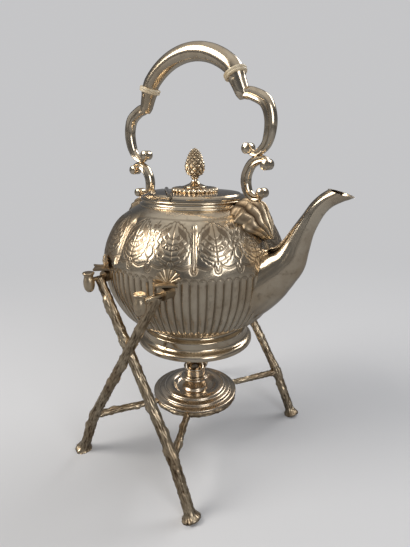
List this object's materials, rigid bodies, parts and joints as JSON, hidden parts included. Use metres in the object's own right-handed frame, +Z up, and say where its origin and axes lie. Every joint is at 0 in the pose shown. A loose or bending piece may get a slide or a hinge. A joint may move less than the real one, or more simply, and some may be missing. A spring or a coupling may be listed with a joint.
{
  "type": "spirit kettle on stand",
  "caption": "Tilting spirit kettle hung by pins in a crossed-branch stand, with hinged lid, fixed bail handle, and a lift-out spirit burner below.",
  "frame": {"origin": "on the table, under the kettle's upright axis and midway between the four feet", "axes": "+Z up, +X towards the spout, -Y to the side whose front pin stands nearer the lid hinge's open end"},
  "size_m": [0.2467, 0.2366, 0.4011],
  "materials": {
    "silver_plate": "polished, warm, worn plate",
    "cast_silver": "cast and chased, dark in the recesses",
    "burner_silver": "polished, tarnished",
    "bone": "smooth, aged cream",
    "brass_tube": "dull",
    "cotton_wick": "charred at the tip"
  },
  "bodies": {
    "stand": {"burner_ring": "cast_silver", "leg_front_right": "cast_silver", "leg_front_left": "cast_silver", "leg_rear_right": "cast_silver", "leg_rear_left": "cast_silver", "stretcher_front_right": "cast_silver", "stretcher_front_left": "cast_silver", "stretcher_rear_right": "cast_silver", "stretcher_rear_left": "cast_silver"},
    "kettle": {"kettle_bowl": "silver_plate", "kettle_foot": "silver_plate", "collar": "silver_plate", "spout": "silver_plate", "hinge_plate": "silver_plate", "hinge_pin": "silver_plate", "handle_bracket_front": "cast_silver", "handle_bracket_rear": "cast_silver", "handle_leg_front": "silver_plate", "handle_leg_rear": "silver_plate", "insulator_front": "bone", "insulator_rear": "bone", "handle_grip": "silver_plate", "handle_rivets": "silver_plate", "lug_front_right": "cast_silver", "lug_front_left": "cast_silver", "lug_rear_right": "cast_silver", "lug_rear_left": "cast_silver", "shell_front_right": "cast_silver", "shell_front_left": "cast_silver", "shell_rear_right": "cast_silver", "shell_rear_left": "cast_silver"},
    "lid": {"lid": "silver_plate", "rosette": "silver_plate", "finial_dome": "cast_silver", "pine_cone": "cast_silver", "finial_stud": "brass_tube", "finial_nut": "brass_tube"},
    "burner": {"burner_font": "burner_silver", "burner_cover": "burner_silver", "burner_neck": "burner_silver"},
    "wick_holder": {"wick_cup": "burner_silver", "flame_petals": "burner_silver", "wick_tube": "brass_tube", "wick": "cotton_wick"},
    "pin_front_right": {"hanging_pin_front_right": "cast_silver"},
    "pin_front_left": {"hanging_pin_front_left": "cast_silver"},
    "pin_rear_right": {"hanging_pin_rear_right": "cast_silver"},
    "pin_rear_left": {"hanging_pin_rear_left": "cast_silver"}
  },
  "joints": [
    {"name": "kettle_tilt", "type": "hinge", "parent": "stand", "child": "kettle", "pos_m": [0.038, 0, 0.198], "axis": [0, 1, 0], "range_deg": [0, 38]},
    {"name": "lid_hinge", "type": "hinge", "parent": "kettle", "child": "lid", "pos_m": [-0.01838, -0.01838, 0.2702], "axis": [0.7071, -0.7071, 0], "range_deg": [0, 92]},
    {"name": "burner_lift", "type": "slide", "parent": "stand", "child": "burner", "axis": [0, 0, 1], "range_m": [0, 0.012]},
    {"name": "wick_holder_lift", "type": "slide", "parent": "burner", "child": "wick_holder", "axis": [0, 0, 1], "range_m": [0, 0.01]},
    {"name": "pin_front_right_draw", "type": "slide", "parent": "stand", "child": "pin_front_right", "axis": [0, -1, 0], "range_m": [0, 0.012]},
    {"name": "pin_front_left_draw", "type": "slide", "parent": "stand", "child": "pin_front_left", "axis": [0, 1, 0], "range_m": [0, 0.012]},
    {"name": "pin_rear_right_draw", "type": "slide", "parent": "stand", "child": "pin_rear_right", "axis": [0, -1, 0], "range_m": [0, 0.012]},
    {"name": "pin_rear_left_draw", "type": "slide", "parent": "stand", "child": "pin_rear_left", "axis": [0, 1, 0], "range_m": [0, 0.012]}
  ]
}
